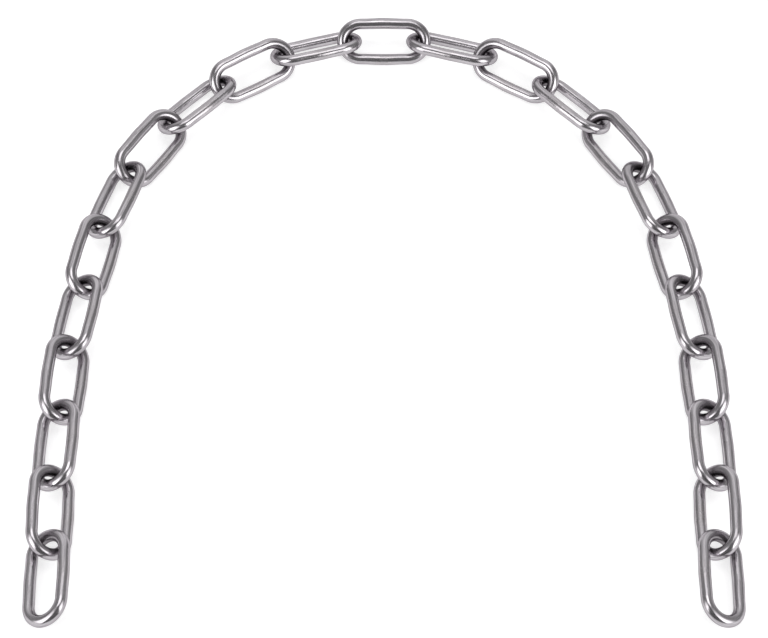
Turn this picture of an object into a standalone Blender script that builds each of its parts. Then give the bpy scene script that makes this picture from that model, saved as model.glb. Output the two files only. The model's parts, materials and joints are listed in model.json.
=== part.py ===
"""A length of long-link steel chain, laid on a flat surface in an arch.

Units are metres, +Z is up, and the chain lies on the surface Z = 0. The
crown link lies across the top of the arch, at +Y, and a leg of links runs
from each of its ends and turns down to -Y. The left leg mirrors the right.

Each link is one closed loop of round wire, tilted about its length, so
that every bow crosses the bow that it pulls on. The crown and each second
link after it raise the outer side and lie on the inner one. The links
between them raise the inner side by a little less, and their neighbours
carry them level. The last link of each leg lies on the surface by itself.
"""

import math

import bmesh
import bpy
import numpy as np
from mathutils import Matrix, Vector

# The link
WIRE_DIAMETER = 0.008
INSIDE_LENGTH = 0.052
OUTSIDE_WIDTH = 0.034

# The lay of the chain, from the crown down each leg
OUTER_UP_TILT_DEG = 37.0
INNER_UP_TILT_DEG = 30.0
LEG_TURNS_DEG = (16, 16, 14, 11, 15, 7, 3, 5, 2, 2, 0)
END_LINK_PLAY = 0.0036

# The fit of one link in the next
LINK_CLEARANCE = 0.0003
LARGEST_BEND_DEG = 20.0
STOP_CLEARANCE = 0.0002
SLACK_STEP = 0.00005

# The wire's steel
STEEL_COLOUR = (0.42, 0.41, 0.42, 1.0)
STEEL_ROUGHNESS = 0.28

# Sides of the wire's section, and steps round each bow
WIRE_SIDES = 12
BOW_STEPS = 10

# The flat-sided section has the round wire's area
SIDE_ANGLE = 2 * math.pi / WIRE_SIDES
CORNER_RADIUS = WIRE_DIAMETER / 2 * math.sqrt(SIDE_ANGLE / math.sin(SIDE_ANGLE))
FLAT_RADIUS = CORNER_RADIUS * math.cos(SIDE_ANGLE / 2)

BOW_RADIUS = (OUTSIDE_WIDTH - WIRE_DIAMETER) / 2
STRAIGHT_LENGTH = INSIDE_LENGTH + 2 * WIRE_DIAMETER - OUTSIDE_WIDTH
LAST_LINK = len(LEG_TURNS_DEG)


def clear_scene():
    """Remove whatever objects the open scene holds."""
    for old in list(bpy.data.objects):
        bpy.data.objects.remove(old, do_unlink=True)


def steel_material():
    """Bright drawn steel wire."""
    material = bpy.data.materials.new("bright_steel_wire")
    material.use_nodes = True
    shader = material.node_tree.nodes["Principled BSDF"]
    shader.inputs["Base Color"].default_value = STEEL_COLOUR
    shader.inputs["Roughness"].default_value = STEEL_ROUGHNESS
    shader.inputs["Metallic"].default_value = 1.0
    material.diffuse_color = STEEL_COLOUR
    return material


def outer_side_up(number):
    """Whether a leg's link raises its outer side, as the crown, number 0, does."""
    return number % 2 == 0


def link_tilt(number):
    """How far a leg's link is tilted about its length."""
    degrees = OUTER_UP_TILT_DEG if outer_side_up(number) else INNER_UP_TILT_DEG
    return math.radians(degrees)


def resting_height(tilt):
    """Height of a link's middle when its low side lies on the surface."""
    return FLAT_RADIUS + BOW_RADIUS * math.sin(tilt)


def link_height(number):
    """Height of a link's middle: all are level but the last, which lies by itself."""
    if number == LAST_LINK:
        return resting_height(link_tilt(number))
    return resting_height(max(link_tilt(0), link_tilt(1)))


def wire_centreline(points_per_part=80):
    """Centreline of a flat-lying link about its middle, as rows of x, y, z."""
    half = STRAIGHT_LENGTH / 2
    swing = np.linspace(-math.pi / 2, math.pi / 2, points_per_part)
    along = np.linspace(-half, half, points_per_part)
    bow = np.column_stack((half + BOW_RADIUS * np.cos(swing), BOW_RADIUS * np.sin(swing)))
    side = np.column_stack((along, np.full_like(along, -BOW_RADIUS)))
    loop = np.vstack((side, bow, -side, -bow))
    return np.column_stack((loop, np.zeros(len(loop))))


def laid_centreline(number, middle, bend):
    """A right-hand link's centreline, level with its neighbour's, about X = 0."""
    raised = 1.0 if outer_side_up(number) else -1.0
    place = (
        Matrix.Rotation(bend, 4, "Z")
        @ Matrix.Translation((middle, 0.0, 0.0))
        @ Matrix.Rotation(raised * link_tilt(number), 4, "X")
    )
    return wire_centreline() @ np.array(place.to_3x3()).T + np.array(place.translation)


def wires_apart(number, slack, bend):
    """Least distance between a link's wire and that of the link before it."""
    pull = (INSIDE_LENGTH - slack) / 2
    before = laid_centreline(number - 1, -pull, 0.0)
    after = laid_centreline(number, pull, bend)
    between = np.linalg.norm(before[:, None, :] - after[None, :, :], axis=2)
    return between.min() - 2 * CORNER_RADIUS


def joint_slack(number, turn):
    """Slack of the joint that leads to a link of a leg.

    It is the least that clears the wires as laid and at the joint's two
    stops, and the end link has its play besides.
    """
    stop = math.radians(LARGEST_BEND_DEG)
    needs = ((-turn, LINK_CLEARANCE), (stop, STOP_CLEARANCE), (-stop, STOP_CLEARANCE))
    slack = LINK_CLEARANCE
    most = INSIDE_LENGTH - 2 * WIRE_DIAMETER
    while slack < most:
        if all(wires_apart(number, slack, bend) >= clearance for bend, clearance in needs):
            break
        slack += SLACK_STEP
    return slack + END_LINK_PLAY if number == LAST_LINK else slack


def leg_joints():
    """Turn and slack of each joint of a leg, from the crown down."""
    turns = [math.radians(turn) for turn in LEG_TURNS_DEG]
    return [(turn, joint_slack(number, turn)) for number, turn in enumerate(turns, start=1)]


def draw_straight(builder, ring, length):
    """Extrude the wire's end ring along X, and give the new end ring."""
    drawn = bmesh.ops.extrude_edge_only(builder, edges=ring)["geom"]
    corners = [item for item in drawn if isinstance(item, bmesh.types.BMVert)]
    bmesh.ops.translate(builder, verts=corners, vec=(length, 0.0, 0.0))
    return [item for item in drawn if isinstance(item, bmesh.types.BMEdge)]


def bend_bow(builder, ring, centre, direction):
    """Spin the end ring half a turn round a bow, and give the new end ring."""
    bent = bmesh.ops.spin(
        builder,
        geom=ring,
        cent=centre,
        axis=(0.0, 0.0, direction),
        angle=math.pi,
        steps=BOW_STEPS,
        use_duplicate=False,
    )
    return [item for item in bent["geom_last"] if isinstance(item, bmesh.types.BMEdge)]


def link_mesh(name, middle, tilt):
    """Closed loop of wire in the XY plane, its length along X.

    The middle of the loop is at X = middle. A flat of the wire's section
    faces straight down on the low side once the loop is tilted about X.
    """
    low_side = -1.0 if tilt > 0 else 1.0
    flat_down = -math.pi / 2 - tilt
    first_flat = math.pi / 2 + SIDE_ANGLE / 2
    section = (
        Matrix.Translation((middle - STRAIGHT_LENGTH / 2, low_side * BOW_RADIUS, 0.0))
        @ Matrix.Rotation(flat_down - first_flat, 4, "X")
        @ Matrix.Rotation(math.pi / 2, 4, "Z")
        @ Matrix.Rotation(math.pi / 2, 4, "X")
    )
    builder = bmesh.new()
    bmesh.ops.create_circle(
        builder, cap_ends=False, radius=CORNER_RADIUS, segments=WIRE_SIDES, matrix=section
    )
    ring = list(builder.edges)
    for end in (1.0, -1.0):
        ring = draw_straight(builder, ring, end * STRAIGHT_LENGTH)
        bow_centre = Vector((middle + end * STRAIGHT_LENGTH / 2, 0.0, 0.0))
        ring = bend_bow(builder, ring, bow_centre, -low_side)
    bmesh.ops.remove_doubles(builder, verts=builder.verts, dist=WIRE_DIAMETER / 1000)
    bmesh.ops.recalc_face_normals(builder, faces=builder.faces)
    mesh = bpy.data.meshes.new(name)
    builder.to_mesh(mesh)
    builder.free()
    mesh.shade_smooth()
    return mesh


def add_link(name, pivot, middle, height, tilt, material):
    """One link on its pivot, raised to its height and tilted about its length."""
    link = bpy.data.objects.new(name, link_mesh(name, middle, tilt))
    bpy.context.scene.collection.objects.link(link)
    link.parent = pivot
    link.location = (0.0, 0.0, height)
    link.rotation_euler = (tilt, 0.0, 0.0)
    link.data.materials.append(material)
    return link


def add_pivot(name, parent, reach, turn):
    """Upright axis of a joint, reach along the link before it."""
    pivot = bpy.data.objects.new(name, None)
    bpy.context.scene.collection.objects.link(pivot)
    pivot.empty_display_size = OUTSIDE_WIDTH
    pivot.parent = parent
    pivot.location = (reach, 0.0, 0.0)
    pivot.rotation_euler = (0.0, 0.0, turn)
    return pivot


def lay_leg(leg, side, joints, crown, material):
    """Hang a leg's links one from another: side is 1 to the right, -1 to the left.

    Every pivot's X runs on down its leg, so a positive tilt raises the left
    side of a link, which is the outer side of the right leg.
    """
    pulls = [(INSIDE_LENGTH - slack) / 2 for _, slack in joints]
    pulls.append(pulls[-1])
    parent = crown
    reach = side * pulls[0]
    for number, (turn, _) in enumerate(joints, start=1):
        heading = -side * turn
        if number == 1 and side < 0:
            heading += math.pi
        pivot = add_pivot(f"pivot_{leg}_{number:02d}", parent, reach, heading)
        tilt = link_tilt(number) if outer_side_up(number) == (side > 0) else -link_tilt(number)
        add_link(
            f"link_{leg}_{number:02d}",
            pivot,
            pulls[number - 1],
            link_height(number),
            tilt,
            material,
        )
        reach = pulls[number - 1] + pulls[number]
        parent = pivot


def centre_over_origin(crown):
    """Shift the chain along Y until its extent is centred on the origin."""
    bpy.context.view_layer.update()
    extent = []
    for link in bpy.context.scene.objects:
        if link.type == "MESH":
            extent.extend((link.matrix_world @ corner.co).y for corner in link.data.vertices)
    crown.location.y -= (max(extent) + min(extent)) / 2
    bpy.context.view_layer.update()


def main():
    clear_scene()
    material = steel_material()
    joints = leg_joints()
    crown = bpy.data.objects.new("crown", None)
    bpy.context.scene.collection.objects.link(crown)
    crown.empty_display_size = OUTSIDE_WIDTH
    add_link("link_crown", crown, 0.0, link_height(0), link_tilt(0), material)
    lay_leg("right", 1.0, joints, crown, material)
    lay_leg("left", -1.0, joints, crown, material)
    centre_over_origin(crown)


main()
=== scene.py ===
"""A length of bright steel long-link chain, laid in an arch on a pale floor.

Every link is one loop of round drawn wire with a dressed butt weld in the
middle of the side that faces into the arch. One link is modelled in edit
mode, and each link of the chain is a copy of it with a mesh of its own,
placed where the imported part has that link. Lengths are in metres.
"""

import enum
import json
import logging
import math
from collections.abc import Callable
from dataclasses import dataclass, field, replace

import bpy
from mathutils import Matrix, Vector


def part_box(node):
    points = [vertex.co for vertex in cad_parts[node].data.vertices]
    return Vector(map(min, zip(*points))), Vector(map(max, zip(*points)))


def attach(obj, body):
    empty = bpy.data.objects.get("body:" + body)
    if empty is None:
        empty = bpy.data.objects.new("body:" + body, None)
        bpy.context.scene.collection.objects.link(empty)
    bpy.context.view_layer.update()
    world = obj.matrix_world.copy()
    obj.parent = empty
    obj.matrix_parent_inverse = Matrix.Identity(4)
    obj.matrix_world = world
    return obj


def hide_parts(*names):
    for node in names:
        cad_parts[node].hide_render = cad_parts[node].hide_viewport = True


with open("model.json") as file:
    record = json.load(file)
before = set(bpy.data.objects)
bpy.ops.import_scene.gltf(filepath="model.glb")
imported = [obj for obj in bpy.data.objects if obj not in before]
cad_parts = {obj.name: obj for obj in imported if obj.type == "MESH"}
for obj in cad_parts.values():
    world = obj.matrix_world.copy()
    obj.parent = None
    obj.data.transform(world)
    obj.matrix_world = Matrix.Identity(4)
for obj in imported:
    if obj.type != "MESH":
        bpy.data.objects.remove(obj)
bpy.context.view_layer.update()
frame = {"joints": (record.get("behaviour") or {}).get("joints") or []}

log = logging.getLogger("chain")

Colour = tuple[float, float, float, float]
Point = tuple[float, float, float]
Span = tuple[float, float]
Input = bpy.types.NodeSocket | float | Colour

WIRE_MAP = "wire"
COIL_PLACE = "coil_place"
MM_PER_METRE = 1000.0
FULL_BEAM_DEG = 180.0


class Leg(enum.Enum):
    """The two legs of the arch, each with the sign of X on its side."""

    RIGHT = 1
    LEFT = -1


class Side(enum.Enum):
    """The two sides of a link, each with the sign of the tilt that raises it.

    Left and right are as seen along the link's heading.
    """

    ON_THE_LEFT = 1
    ON_THE_RIGHT = -1

    @property
    def opposite(self) -> "Side":
        """The other side."""
        return Side(-self.value)


def leave_edit_mode() -> None:
    """Go back to object mode with nothing selected."""
    if bpy.context.object is not None and bpy.context.object.mode != "OBJECT":
        bpy.ops.object.mode_set(mode="OBJECT")
    bpy.ops.object.select_all(action="DESELECT")


@dataclass(frozen=True)
class LinkForm:
    """Sizes of one link, and how finely it is modelled.

    flat_radius is the distance from the middle of the solids' flat-sided wire
    to its flats. The round wire is a hair thinner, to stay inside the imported
    part's box. The bows are drawn in across the link by the share draw_in, and
    a side keeps its full width as far as side_middle from its middle.
    """

    wire_radius: float = 0.00395
    flat_radius: float = 0.00395383
    bow_radius: float = 0.013
    straight_length: float = 0.034
    draw_in: float = 0.03
    side_middle: float = 0.001
    wire_sides: int = 40
    bow_steps: int = 30
    side_steps: int = 8

    @property
    def half_side(self) -> float:
        """Half the length of a straight side."""
        return self.straight_length / 2

    @property
    def round_length(self) -> float:
        """Length of the wire's centreline, once round the link."""
        return 2 * self.straight_length + 2 * math.pi * self.bow_radius

    def along(self, x: float, y: float) -> float:
        """Find how far along the wire a point of the flat-lying link is.

        Args:
            x: the point's place along the link, from its middle.
            y: the point's place across the link; the weld is on the side of -Y.

        Returns:
            The distance from the weld along the wire, from -half to half of its length.
        """
        half = self.half_side
        quarter_turn = math.pi * self.bow_radius / 2
        if x > half:
            distance = half + quarter_turn + self.bow_radius * math.atan2(y, x - half)
        elif x < -half:
            distance = -half - quarter_turn - self.bow_radius * math.atan2(y, -x - half)
        elif y < 0:
            distance = x
        else:
            distance = half + 2 * quarter_turn + half - x
        if distance > self.round_length / 2:
            distance -= self.round_length
        return distance

    def around(self, x: float, y: float, z: float) -> float:
        """Find where round the wire's section a point is.

        Args:
            x: the point's place along the link, from its middle.
            y: the point's place across the link.
            z: the point's height over the link's plane.

        Returns:
            The angle in turns: 0.5 faces out of the link, and 0 and 1 face into it.
        """
        past_side = max(abs(x) - self.half_side, 0.0)
        outward = math.hypot(past_side, y) - self.bow_radius
        return math.atan2(z, outward) / (2 * math.pi) + 0.5


@dataclass(frozen=True)
class WeldForm:
    """The dressed butt weld: how far the wire swells at each distance from its middle.

    Each swell is for the station of the same number, and the stations after the
    last swell only divide the rest of the side into faces. A corner of the mesh
    is at a station when it is within near of it.
    """

    stations: tuple[float, ...] = (
        0.0, 0.0006, 0.0012, 0.0018, 0.0024, 0.003, 0.0038, 0.006, 0.0095, 0.013
    )
    swell: tuple[float, ...] = (0.00002, 0.00002, 0.00003, 0.00003, 0.00002, 0.00001)
    near: float = 0.00005


class NodeSheet:
    """A node tree that is filled from code, a node and its inputs at a time."""

    NOISE_SPAN: Span = (0.3, 0.7)

    def __init__(self, tree: bpy.types.NodeTree) -> None:
        """Take over a node tree and empty it.

        Args:
            tree: the node tree of a material or a world.
        """
        self.tree = tree
        self.tree.nodes.clear()

    def add(
        self, kind: str, inputs: dict[str | int, Input] | None = None, **settings: object
    ) -> bpy.types.Node:
        """Add a node.

        Args:
            kind: the node's type name in Blender.
            inputs: for each input's name or number, a value or the socket to link from.
            settings: properties to set on the node itself.

        Returns:
            The new node.
        """
        node = self.tree.nodes.new(kind)
        for name, value in settings.items():
            setattr(node, name, value)
        for key, value in (inputs or {}).items():
            if isinstance(value, bpy.types.NodeSocket):
                self.tree.links.new(value, node.inputs[key])
            else:
                node.inputs[key].default_value = value
        return node

    def math(self, operation: str, *values: Input, clamp: bool = False) -> bpy.types.NodeSocket:
        """Add a Math node.

        Args:
            operation: the Math node's operation.
            values: its inputs, numbers or sockets, in order.
            clamp: whether the result is held between 0 and 1.

        Returns:
            The node's output socket.
        """
        inputs = dict(enumerate(values))
        return self.add("ShaderNodeMath", inputs, operation=operation, use_clamp=clamp).outputs[0]

    def fade(self, value: Input, start: float, end: float) -> bpy.types.NodeSocket:
        """Give a smooth step from 0 to 1.

        Args:
            value: the socket that is mapped.
            start: the value that gives 0.
            end: the value that gives 1.

        Returns:
            The socket of the mapped value.
        """
        inputs = {"Value": value, "From Min": start, "From Max": end}
        node = self.add("ShaderNodeMapRange", inputs, interpolation_type="SMOOTHSTEP")
        return node.outputs["Result"]

    def fade_out(self, value: Input, start: float, end: float) -> bpy.types.NodeSocket:
        """Give a smooth step from 1 at the start to 0 at the end."""
        return self.math("SUBTRACT", 1.0, self.fade(value, start, end))

    def spread(self, value: Input, low: float, high: float) -> bpy.types.NodeSocket:
        """Map a noise value onto a range.

        Args:
            value: the socket of the noise, which mostly stays in NOISE_SPAN.
            low: the value that the span's start gives.
            high: the value that the span's end gives.

        Returns:
            The socket of the mapped value, which stays in the range.
        """
        start, end = self.NOISE_SPAN
        inputs = {"Value": value, "From Min": start, "From Max": end, "To Min": low, "To Max": high}
        return self.add("ShaderNodeMapRange", inputs).outputs["Result"]

    def noise(self, vector: Input, scale: float, detail: float) -> bpy.types.NodeSocket:
        """Add a Noise Texture.

        Args:
            vector: the socket of its coordinates.
            scale: its scale.
            detail: its number of finer layers.

        Returns:
            The socket of its value.
        """
        inputs = {"Vector": vector, "Scale": scale, "Detail": detail}
        return self.add("ShaderNodeTexNoise", inputs).outputs[0]

    def blend(self, share: Input, first: Input, second: Input) -> bpy.types.NodeSocket:
        """Mix two colours.

        Args:
            share: the share of the second colour.
            first: the first colour, a tuple or a socket.
            second: the second colour, a tuple or a socket.

        Returns:
            The socket of the mixed colour.
        """
        mix = self.add("ShaderNodeMix", {0: share, 6: first, 7: second}, data_type="RGBA")
        return mix.outputs[2]

    def bump(
        self, height: Input, depth: float, normal: bpy.types.NodeSocket | None = None
    ) -> bpy.types.NodeSocket:
        """Raise the surface by a height.

        Args:
            height: the socket of the height, about 0 to 1.
            depth: the depth that a height of 1 stands for.
            normal: the socket of the normal that this bump adds to.

        Returns:
            The socket of the new normal.
        """
        inputs = {"Height": height, "Distance": depth, "Strength": 1.0}
        if normal is not None:
            inputs["Normal"] = normal
        return self.add("ShaderNodeBump", inputs).outputs["Normal"]


@dataclass(frozen=True)
class WireNoise:
    """A noise on the wire: how far it is drawn out, its scale and its finer layers."""

    stretch: float
    scale: float
    detail: float


class WireSheet(NodeSheet):
    """The node tree of a finish that follows the wire round its link."""

    def __init__(self, tree: bpy.types.NodeTree, form: LinkForm) -> None:
        """Empty the tree, and turn the link's wire map into lengths and turns.

        Args:
            tree: the node tree of the finish's material.
            form: the link that it dresses.
        """
        super().__init__(tree)
        wire = self.add("ShaderNodeUVMap", uv_map=WIRE_MAP).outputs["UV"]
        parts = self.add("ShaderNodeSeparateXYZ", {0: wire}).outputs
        centred = self.math("SUBTRACT", parts["X"], 0.5)
        turn = self.math("MULTIPLY", parts["Y"], 2 * math.pi)
        radius = MM_PER_METRE * form.wire_radius
        self.along = self.math("MULTIPLY", centred, form.round_length)
        self.inward = self.math("ABSOLUTE", self.math("SUBTRACT", parts["Y"], 0.5))
        self.across = self.math("MULTIPLY", self.math("COSINE", turn), radius)
        self.upward = self.math("MULTIPLY", self.math("SINE", turn), radius)
        self.coil = self.add("ShaderNodeAttribute", attribute_name=COIL_PLACE).outputs["Fac"]

    def drawn_noise(self, kind: WireNoise) -> bpy.types.NodeSocket:
        """Add a noise in the wire's own millimetres, drawn out along it.

        Args:
            kind: the noise.

        Returns:
            The socket of its value.
        """
        length = self.math("MULTIPLY_ADD", self.along, MM_PER_METRE / kind.stretch, self.coil)
        inputs = {"X": self.across, "Y": self.upward, "Z": length}
        on_wire = self.add("ShaderNodeCombineXYZ", inputs).outputs[0]
        return self.noise(on_wire, kind.scale, kind.detail)


@dataclass(frozen=True)
class WireMarks:
    """Where the marks of a drawn wire lie, and its painted shade, each as a socket of its node
    tree.
    """

    streaks: bpy.types.NodeSocket
    clouds: bpy.types.NodeSocket
    grain: bpy.types.NodeSocket
    # Painted shade at the interlocks, on the inner faces of the bows.
    interlock_shade: bpy.types.NodeSocket
    weld: bpy.types.NodeSocket
    heat: bpy.types.NodeSocket


@dataclass(frozen=True)
class DrawnSteelFinish:
    """Bright drawn stainless wire, tumbled after welding.

    Streaks along the wire and clouds all over it make it duller and rougher in
    places. A painted shade, a dark grey laid on the inner face of each bow,
    stands for the shade where the links hang in one another: it fades out along
    the wire between the two distances of its reach from the bow's middle, and
    sets in at inner_face, in turns from the face that points out of the link.
    The weld and its heat tint fade over weld_reach and heat_reach from the
    weld's middle, with a ragged edge.
    """

    name: str = "bright_drawn_steel"
    bright: Colour = (0.54, 0.514, 0.54, 1.0)
    dull: Colour = (0.35, 0.331, 0.349, 1.0)
    edge: Colour = (0.45, 0.43, 0.45, 1.0)
    # Painted shade: the dark grey laid on the inner faces of the bows, where the links shade one
    # another.
    interlock_shade_grey: Colour = (0.2, 0.187, 0.198, 1.0)
    heat_tint: Colour = (0.44, 0.41, 0.41, 1.0)
    weld_grey: Colour = (0.4, 0.38, 0.396, 1.0)
    lines: WireNoise = WireNoise(stretch=40.0, scale=5.5, detail=3.0)
    streaks: WireNoise = WireNoise(stretch=26.0, scale=1.5, detail=3.0)
    dents: WireNoise = WireNoise(stretch=1.6, scale=0.75, detail=2.0)
    grain: WireNoise = WireNoise(stretch=1.0, scale=6.0, detail=4.0)
    cloud_scale: float = 22.0
    cloud_detail: float = 3.0
    streak_dullness: Span = (-0.32, 1.03)
    cloud_dullness: Span = (0.0, 0.3)
    # Painted shade at the interlocks: how patchy its cover is.
    shade_cover: Span = (0.7, 1.0)
    heat_cover: float = 0.25
    weld_cover: float = 0.7
    # Painted shade at the interlocks: how far along the wire it reaches from each bow's middle.
    shade_reach: Span = (0.009, 0.021)
    inner_face: Span = (0.22, 0.4)
    ragged_edge: float = 0.0016
    weld_reach: Span = (0.0024, 0.0052)
    heat_reach: Span = (0.004, 0.013)
    streak_roughness: Span = (0.17, 0.23)
    cloud_roughness: Span = (0.0, 0.04)
    weld_roughness: float = 0.04
    line_depth: float = 0.000004
    dent_depth: float = 0.00001
    weld_depth: float = 0.00001

    def make(self, form: LinkForm) -> bpy.types.Material:
        """Make the finish as a material.

        Args:
            form: the link that it dresses, whose wire the drawn lines follow.

        Returns:
            The new material.
        """
        material = bpy.data.materials.new(self.name)
        material.use_nodes = True
        sheet = WireSheet(material.node_tree, form)
        marks = self.marks(sheet, form)
        inputs = {
            "Base Color": self.colour(sheet, marks),
            "Metallic": 1.0,
            "Roughness": self.roughness(sheet, marks),
            "Specular Tint": self.edge,
            "Normal": self.relief(sheet, marks),
        }
        shader = sheet.add("ShaderNodeBsdfPrincipled", inputs)
        sheet.add("ShaderNodeOutputMaterial", {"Surface": shader.outputs[0]})
        return material

    def marks(self, sheet: WireSheet, form: LinkForm) -> WireMarks:
        """Find where the wire's marks and its painted shade lie.

        Args:
            sheet: the finish's node tree.
            form: the link that it dresses.

        Returns:
            The marks.
        """
        place = sheet.add("ShaderNodeTexCoord").outputs["Object"]
        grain = sheet.drawn_noise(self.grain)
        from_weld = sheet.math("ABSOLUTE", sheet.along)
        # Painted shade on the inner face of each bow, where the links shade one another.
        to_bow = sheet.math("SUBTRACT", from_weld, form.round_length / 4)
        on_bow = sheet.fade_out(sheet.math("ABSOLUTE", to_bow), *self.shade_reach)
        on_inner_face = sheet.fade(sheet.inward, *self.inner_face)
        ragged = sheet.math("MULTIPLY_ADD", grain, self.ragged_edge, from_weld)
        return WireMarks(
            streaks=sheet.drawn_noise(self.streaks),
            clouds=sheet.noise(place, self.cloud_scale, self.cloud_detail),
            grain=grain,
            interlock_shade=sheet.math("MULTIPLY", on_bow, on_inner_face),
            weld=sheet.fade_out(ragged, *self.weld_reach),
            heat=sheet.fade_out(ragged, *self.heat_reach),
        )

    def colour(self, sheet: WireSheet, marks: WireMarks) -> bpy.types.NodeSocket:
        """Lay the steel's colours, and the painted shade at the interlocks, over one another.

        Args:
            sheet: the finish's node tree.
            marks: where the wire's marks lie.

        Returns:
            The socket of the colour.
        """
        streaky = sheet.spread(marks.streaks, *self.streak_dullness)
        cloudy = sheet.spread(marks.clouds, *self.cloud_dullness)
        dullness = sheet.math("ADD", streaky, cloudy, clamp=True)
        # Painted shade: a patchy dark grey on the inner faces of the bows, standing for the shade
        # at the interlocks.
        patchy = sheet.spread(marks.grain, *self.shade_cover)
        painted_shade = sheet.math("MULTIPLY", marks.interlock_shade, patchy, clamp=True)
        heat = sheet.math("MULTIPLY", marks.heat, self.heat_cover)
        speckled = sheet.spread(marks.grain, 0.0, self.weld_cover)
        weld = sheet.math("MULTIPLY", marks.weld, speckled, clamp=True)
        colour = sheet.blend(dullness, self.bright, self.dull)
        colour = sheet.blend(painted_shade, colour, self.interlock_shade_grey)
        colour = sheet.blend(heat, colour, self.heat_tint)
        return sheet.blend(weld, colour, self.weld_grey)

    def roughness(self, sheet: WireSheet, marks: WireMarks) -> bpy.types.NodeSocket:
        """Add up the steel's roughness.

        Args:
            sheet: the finish's node tree.
            marks: where the wire's marks lie.

        Returns:
            The socket of the roughness.
        """
        streaky = sheet.spread(marks.streaks, *self.streak_roughness)
        cloudy = sheet.spread(marks.clouds, *self.cloud_roughness)
        wire = sheet.math("ADD", streaky, cloudy)
        return sheet.math("MULTIPLY_ADD", marks.weld, self.weld_roughness, wire, clamp=True)

    def relief(self, sheet: WireSheet, marks: WireMarks) -> bpy.types.NodeSocket:
        """Raise the drawn lines, the dents and the weld's grain.

        Args:
            sheet: the finish's node tree.
            marks: where the wire's marks lie.

        Returns:
            The socket of the normal.
        """
        dented = sheet.bump(sheet.drawn_noise(self.dents), self.dent_depth)
        lined = sheet.bump(sheet.drawn_noise(self.lines), self.line_depth, dented)
        on_weld = sheet.math("MULTIPLY", marks.weld, marks.grain)
        return sheet.bump(on_weld, self.weld_depth, lined)


@dataclass(frozen=True)
class FloorFinish:
    """A plain white studio floor that glows a little, so that its shadows stay faint."""

    name: str = "white_floor"
    colour: Colour = (0.55, 0.55, 0.552, 1.0)
    roughness: float = 0.9
    specular: float = 0.1
    glow_colour: Colour = (1.0, 1.0, 1.0, 1.0)
    glow: float = 0.64

    def make(self) -> bpy.types.Material:
        """Make the floor's material.

        Returns:
            The new material.
        """
        material = bpy.data.materials.new(self.name)
        material.use_nodes = True
        shader = material.node_tree.nodes["Principled BSDF"]
        shader.inputs["Base Color"].default_value = self.colour
        shader.inputs["Roughness"].default_value = self.roughness
        shader.inputs["Specular IOR Level"].default_value = self.specular
        shader.inputs["Emission Color"].default_value = self.glow_colour
        shader.inputs["Emission Strength"].default_value = self.glow
        return material


@dataclass(frozen=True)
class StudioAir:
    """The dim light of the room: darkest in front of the chain and brightest behind it.

    The edges are parts of a direction of length 1: front_edge and back_edge of
    its Y, from where to where the light rises, and side_edge of its X, from
    where to where the brighter back fades out to the sides.
    """

    in_front: float = 0.2
    beside: float = 0.33
    behind: float = 1.25
    front_edge: Span = (-0.7, -0.1)
    back_edge: Span = (0.25, 0.6)
    side_edge: Span = (0.27, 0.82)

    def fill(self) -> None:
        """Give the scene this room light."""
        world = bpy.data.worlds.new("studio_air")
        world.use_nodes = True
        sheet = NodeSheet(world.node_tree)
        direction = sheet.add("ShaderNodeTexCoord").outputs["Generated"]
        parts = sheet.add("ShaderNodeSeparateXYZ", {0: direction}).outputs
        past_front = sheet.fade(parts["Y"], *self.front_edge)
        near_middle = sheet.fade_out(sheet.math("ABSOLUTE", parts["X"]), *self.side_edge)
        back = sheet.math("MULTIPLY", sheet.fade(parts["Y"], *self.back_edge), near_middle)
        rise = self.beside - self.in_front
        strength = sheet.math("MULTIPLY_ADD", past_front, rise, self.in_front)
        strength = sheet.math("MULTIPLY_ADD", back, self.behind - self.beside, strength)
        background = sheet.add("ShaderNodeBackground", {"Strength": strength})
        sheet.add("ShaderNodeOutputWorld", {"Surface": background.outputs[0]})
        bpy.context.scene.world = world


@dataclass(frozen=True)
class LinkPlace:
    """Where one link lies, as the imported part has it.

    The number counts the links from the crown, and is negative on the left leg.
    """

    node: str
    body: str
    number: int
    centre: Vector
    heading: float
    tilt: float
    weld_side: Side

    @property
    def matrix(self) -> Matrix:
        """Place a link that lies flat about the origin with its weld on the side of -Y.

        Returns:
            The matrix that takes it there.
        """
        half_turn = math.pi if self.weld_side is Side.ON_THE_LEFT else 0.0
        return (
            Matrix.Translation(self.centre)
            @ Matrix.Rotation(self.heading, 4, "Z")
            @ Matrix.Rotation(self.tilt, 4, "X")
            @ Matrix.Rotation(half_turn, 4, "Z")
        )


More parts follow.
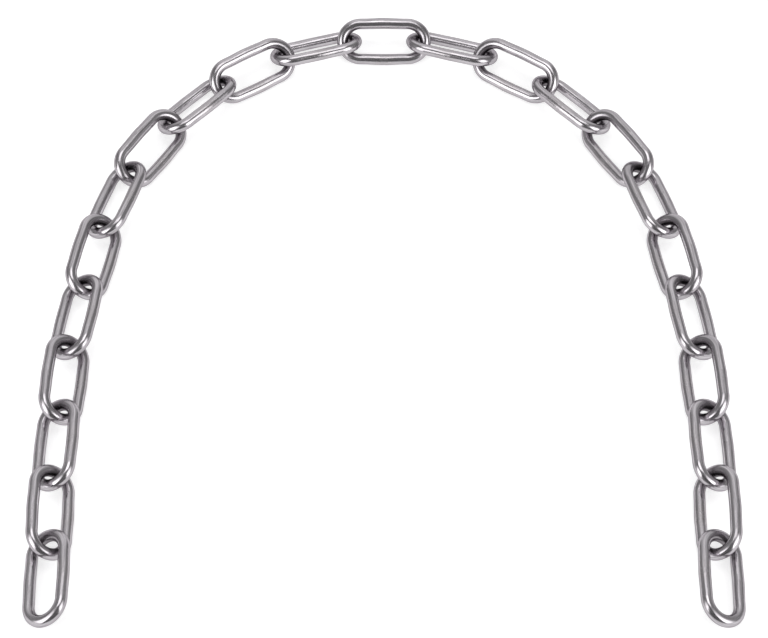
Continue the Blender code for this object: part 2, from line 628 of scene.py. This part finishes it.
@dataclass
class LinkMaker:
    """Models one link in edit mode, and copies it to each place.

    No copy's wire comes nearer to the floor than floor_gap. The drawn marks
    move on by coil_step millimetres from each link to the next.
    """

    form: LinkForm
    weld: WeldForm
    steel: bpy.types.Material
    merge_distance: float = 0.00001
    floor_gap: float = 0.00001
    coil_step: float = 7.3
    pattern: bpy.types.Object | None = None

    def model(self) -> bpy.types.Object:
        """Model the link flat about the origin, its length along X and its weld at -Y.

        Returns:
            The modelled link, which the copies are taken from.
        """
        form = self.form
        half = form.half_side
        leave_edit_mode()
        bpy.ops.mesh.primitive_circle_add(
            vertices=form.wire_sides,
            radius=form.wire_radius,
            fill_type="NOTHING",
            location=(-half, -form.bow_radius, 0.0),
            rotation=(0.0, math.pi / 2, 0.0),
        )
        self.pattern = bpy.context.object
        self.pattern.name = "link_pattern"
        bpy.ops.object.transform_apply(location=True, rotation=True, scale=True)
        bpy.ops.object.mode_set(mode="EDIT")
        bpy.ops.mesh.select_mode(type="EDGE")
        bpy.ops.mesh.select_all(action="SELECT")
        on_one_side = self.weld.stations
        stations = sorted({-half, half, *on_one_side, *(-x for x in on_one_side)})
        self.draw_side([end - start for start, end in zip(stations, stations[1:])])
        self.bend_bow(half)
        self.draw_side([-form.straight_length / form.side_steps] * form.side_steps)
        self.bend_bow(-half)
        bpy.ops.mesh.select_all(action="SELECT")
        bpy.ops.mesh.remove_doubles(threshold=self.merge_distance)
        bpy.ops.mesh.normals_make_consistent(inside=False)
        bpy.ops.object.mode_set(mode="OBJECT")
        self.lay_wire_map(self.pattern.data)
        bpy.ops.object.mode_set(mode="EDIT")
        self.draw_in_bows()
        self.swell_weld()
        bpy.ops.object.mode_set(mode="OBJECT")
        self.pattern.data.shade_smooth()
        return self.pattern

    def draw_side(self, steps: list[float]) -> None:
        """Extrude the selected end of the wire along X.

        Args:
            steps: the length of each step.
        """
        for step in steps:
            bpy.ops.mesh.extrude_region_move(TRANSFORM_OT_translate={"value": (step, 0.0, 0.0)})

    def bend_bow(self, centre: float) -> None:
        """Spin the selected end of the wire half a turn round a bow.

        Args:
            centre: the place along the link of the bow's centre.
        """
        bpy.ops.mesh.spin(
            steps=self.form.bow_steps,
            dupli=False,
            angle=-math.pi,
            center=(centre, 0.0, 0.0),
            axis=(0.0, 0.0, 1.0),
        )

    def choose(self, wanted: Callable[[Vector], bool]) -> None:
        """Select some corners of the pattern, in edit mode.

        Args:
            wanted: tells from a corner's place whether it is selected.
        """
        bpy.ops.mesh.select_mode(type="VERT")
        bpy.ops.mesh.select_all(action="DESELECT")
        bpy.ops.object.mode_set(mode="OBJECT")
        for corner in self.pattern.data.vertices:
            corner.select = wanted(corner.co)
        bpy.ops.object.mode_set(mode="EDIT")

    def draw_in_bows(self) -> None:
        """Draw the bows in across the link, so that its sides curve gently outwards."""
        narrow = 1 - self.form.draw_in
        middle = self.form.side_middle
        bpy.ops.mesh.select_mode(type="VERT")
        bpy.ops.mesh.select_all(action="SELECT")
        bpy.ops.transform.resize(value=(1.0, narrow, 1.0), center_override=(0.0, 0.0, 0.0))
        self.choose(lambda corner: abs(corner.x) < middle)
        bpy.ops.transform.resize(
            value=(1.0, 1 / narrow, 1.0),
            center_override=(0.0, 0.0, 0.0),
            use_proportional_edit=True,
            proportional_edit_falloff="SMOOTH",
            proportional_size=self.form.half_side - middle,
        )

    def swell_weld(self) -> None:
        """Swell the wire's section at each station of the weld."""
        near = self.weld.near
        for distance, swell in zip(self.weld.stations, self.weld.swell):
            scale = 1 + swell / self.form.wire_radius
            for x in sorted({distance, -distance}):
                self.choose(lambda corner, at=x: corner.y < 0 and abs(corner.x - at) < near)
                bpy.ops.transform.resize(
                    value=(1.0, scale, scale),
                    center_override=(x, -self.form.bow_radius, 0.0),
                )

    def lay_wire_map(self, mesh: bpy.types.Mesh) -> None:
        """Give a link's mesh a map that runs along the wire and round it.

        A face that crosses the map's seam keeps its corners together.

        Args:
            mesh: the flat-lying link's mesh.
        """
        form = self.form
        layer = mesh.uv_layers.new(name=WIRE_MAP)
        places = []
        for corner in mesh.vertices:
            x, y, z = corner.co
            places.append((form.along(x, y) / form.round_length + 0.5, form.around(x, y, z)))
        for face in mesh.polygons:
            first = places[mesh.loops[face.loop_start].vertex_index]
            for loop in face.loop_indices:
                here = places[mesh.loops[loop].vertex_index]
                layer.data[loop].uv = [own - round(own - other) for own, other in zip(here, first)]

    def place(self, where: LinkPlace) -> bpy.types.Object:
        """Copy the link, with a mesh of its own, to its place.

        Args:
            where: the place.

        Returns:
            The new link, dressed and riding on its body.
        """
        mesh = self.pattern.data.copy()
        mesh.name = f"wire_{where.body}"
        mesh.transform(where.matrix)
        for corner in mesh.vertices:
            corner.co.z = max(corner.co.z, self.floor_gap)
        coil = mesh.attributes.new(COIL_PLACE, "FLOAT", "POINT")
        coil.data.foreach_set("value", [self.coil_step * where.number] * len(mesh.vertices))
        mesh.materials.append(self.steel)
        link = bpy.data.objects.new(f"wire_{where.body}", mesh)
        bpy.context.scene.collection.objects.link(link)
        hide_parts(where.node)
        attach(link, where.body)
        return link


@dataclass
class Chain:
    """The whole chain: the crown link and the two legs."""

    form: LinkForm
    links_per_leg: int = 11
    links: list[bpy.types.Object] = field(default_factory=list)

    def tilt_of(self, node: str) -> float:
        """Read a link's tilt from the height of its solid.

        Args:
            node: the solid's node.

        Returns:
            The tilt, as a positive angle.
        """
        low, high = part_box(node)
        rise = (high.z - low.z) / 2 - self.form.flat_radius
        return math.asin(rise / self.form.bow_radius)

    def centre_of(self, node: str) -> Vector:
        """Middle of a link, which is the middle of its solid's box."""
        low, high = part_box(node)
        return (low + high) / 2

    def places(self) -> list[LinkPlace]:
        """Find where every link lies.

        Returns:
            The places, the crown's first and then down each leg.
        """
        crown = LinkPlace(
            node="link_crown",
            body="crown",
            number=0,
            centre=self.centre_of("link_crown"),
            heading=0.0,
            tilt=self.tilt_of("link_crown"),
            weld_side=Side.ON_THE_RIGHT,
        )
        found = [crown]
        for leg in Leg:
            found.extend(self.leg_places(leg))
        return found

    def leg_places(self, leg: Leg) -> list[LinkPlace]:
        """Find where the links of one leg lie.

        Each link runs from its own joint to the next, and the last link runs
        on as the one before it. The odd links raise their inner side.

        Args:
            leg: the leg.

        Returns:
            The places, from the crown down.
        """
        word = leg.name.lower()
        joints = {joint["name"]: Vector(joint["pos_m"]) for joint in frame["joints"]}
        inner = Side.ON_THE_RIGHT if leg is Leg.RIGHT else Side.ON_THE_LEFT
        found = []
        heading = 0.0
        for number in range(1, self.links_per_leg + 1):
            body = f"{word}_{number:02d}"
            node = f"link_{body}"
            start = joints[f"pivot_{body}"]
            end = joints.get(f"pivot_{word}_{number + 1:02d}")
            if end is not None:
                heading = math.atan2(end.y - start.y, end.x - start.x)
            raised = inner if number % 2 else inner.opposite
            where = LinkPlace(
                node=node,
                body=body,
                number=number * leg.value,
                centre=self.centre_of(node),
                heading=heading,
                tilt=raised.value * self.tilt_of(node),
                weld_side=inner,
            )
            found.append(where)
        return found

    def build(self, maker: LinkMaker) -> None:
        """Model the link, copy it to every place and drop the pattern.

        Args:
            maker: what models and copies the link.
        """
        pattern = maker.model()
        for where in self.places():
            link = maker.place(where)
            self.links.append(link)
            log.info("%s on body %s, %d faces", link.name, where.body, len(link.data.polygons))
        bpy.data.objects.remove(pattern, do_unlink=True)
        log.info("%d links in all", len(self.links))


@dataclass(frozen=True)
class SoftLight:
    """One rectangular studio light, turned towards a point of the chain."""

    name: str
    place: Point
    aim: Point
    width: float
    depth: float
    brightness: float
    beam_deg: float = FULL_BEAM_DEG

    @property
    def narrowing(self) -> float:
        """Share of a full beam's power that gives the same brightness in a narrow beam."""
        half = math.radians(self.beam_deg / 2)
        return 1 - half / math.tan(half) if self.beam_deg < FULL_BEAM_DEG else 1.0

    def mirrored(self, name: str) -> "SoftLight":
        """Give the same light on the other side of the chain.

        Args:
            name: the other light's name.

        Returns:
            The other light.
        """
        x, y, z = self.place
        aim_x, aim_y, aim_z = self.aim
        return replace(self, name=name, place=(-x, y, z), aim=(-aim_x, aim_y, aim_z))

    def hang(self) -> bpy.types.Object:
        """Add the light to the scene.

        Returns:
            The light, which the camera doesn't see.
        """
        lamp = bpy.data.lights.new(self.name, "AREA")
        lamp.shape = "RECTANGLE"
        lamp.size = self.width
        lamp.size_y = self.depth
        lamp.energy = self.brightness * math.pi * self.width * self.depth * self.narrowing
        lamp.spread = math.radians(self.beam_deg)
        light = bpy.data.objects.new(self.name, lamp)
        light.location = self.place
        towards = Vector(self.aim) - Vector(self.place)
        light.rotation_euler = towards.to_track_quat("-Z", "Y").to_euler()
        light.visible_camera = False
        bpy.context.scene.collection.objects.link(light)
        return light


@dataclass
class Studio:
    """The floor, the lights and the camera."""

    elevation_deg: float = 56.24
    distance: float = 1.69
    lens_mm: float = 117.19
    sensor_mm: float = 36.0
    nearest: float = 0.01
    aim: Point = (0.0, -0.00589, 0.0)
    floor_size: float = 9.0
    overhead_panel: SoftLight = SoftLight(
        name="overhead_panel",
        place=(0.0, 0.74, 5.0),
        aim=(0.0, 0.74, 0.0),
        width=3.4,
        depth=2.58,
        brightness=2.2,
    )
    right_bank: SoftLight = SoftLight(
        name="right_bank",
        place=(0.8, 0.05, 0.35),
        aim=(0.2, 0.0, 0.0),
        width=0.7,
        depth=0.5,
        brightness=0.12,
    )
    right_front_box: SoftLight = SoftLight(
        name="right_front_box",
        place=(0.77, -0.46, 0.5),
        aim=(0.1, 0.12, 0.0),
        width=0.75,
        depth=1.0,
        brightness=4.2,
        beam_deg=84.0,
    )

    def lights(self) -> list[SoftLight]:
        """List the lights.

        Returns:
            The overhead panel, and each light on the right with its mirror image.
        """
        return [
            self.overhead_panel,
            self.right_bank,
            self.right_bank.mirrored("left_bank"),
            self.right_front_box,
            self.right_front_box.mirrored("left_front_box"),
        ]

    def lay_floor(self) -> bpy.types.Object:
        """Lay the floor under the chain.

        Returns:
            The floor.
        """
        leave_edit_mode()
        bpy.ops.mesh.primitive_plane_add(size=self.floor_size, location=(0.0, 0.0, 0.0))
        floor = bpy.context.object
        floor.name = "studio_floor"
        floor.data.materials.append(FloorFinish().make())
        return floor

    def set_camera(self) -> bpy.types.Object:
        """Set the camera up at the photograph's viewing angle.

        Returns:
            The camera.
        """
        optics = bpy.data.cameras.new("camera")
        optics.lens = self.lens_mm
        optics.sensor_width = self.sensor_mm
        optics.clip_start = self.nearest
        camera = bpy.data.objects.new("camera", optics)
        bpy.context.scene.collection.objects.link(camera)
        lift = math.radians(self.elevation_deg)
        away = Vector((0.0, -math.cos(lift), math.sin(lift))) * self.distance
        camera.location = Vector(self.aim) + away
        camera.rotation_euler = (math.pi / 2 - lift, 0.0, 0.0)
        bpy.context.scene.camera = camera
        return camera

    def build(self) -> None:
        """Set up everything round the chain."""
        self.set_camera()
        self.lay_floor()
        StudioAir().fill()
        for light in self.lights():
            light.hang()
            log.info("light %s", light.name)
        bpy.context.scene.view_settings.view_transform = "Standard"


def main() -> None:
    """Build the studio and the chain."""
    logging.basicConfig(level=logging.INFO, format="%(name)s: %(message)s")
    Studio().build()
    form = LinkForm()
    steel = DrawnSteelFinish().make(form)
    Chain(form).build(LinkMaker(form, WeldForm(), steel))


if __name__ == "__main__":
    main()
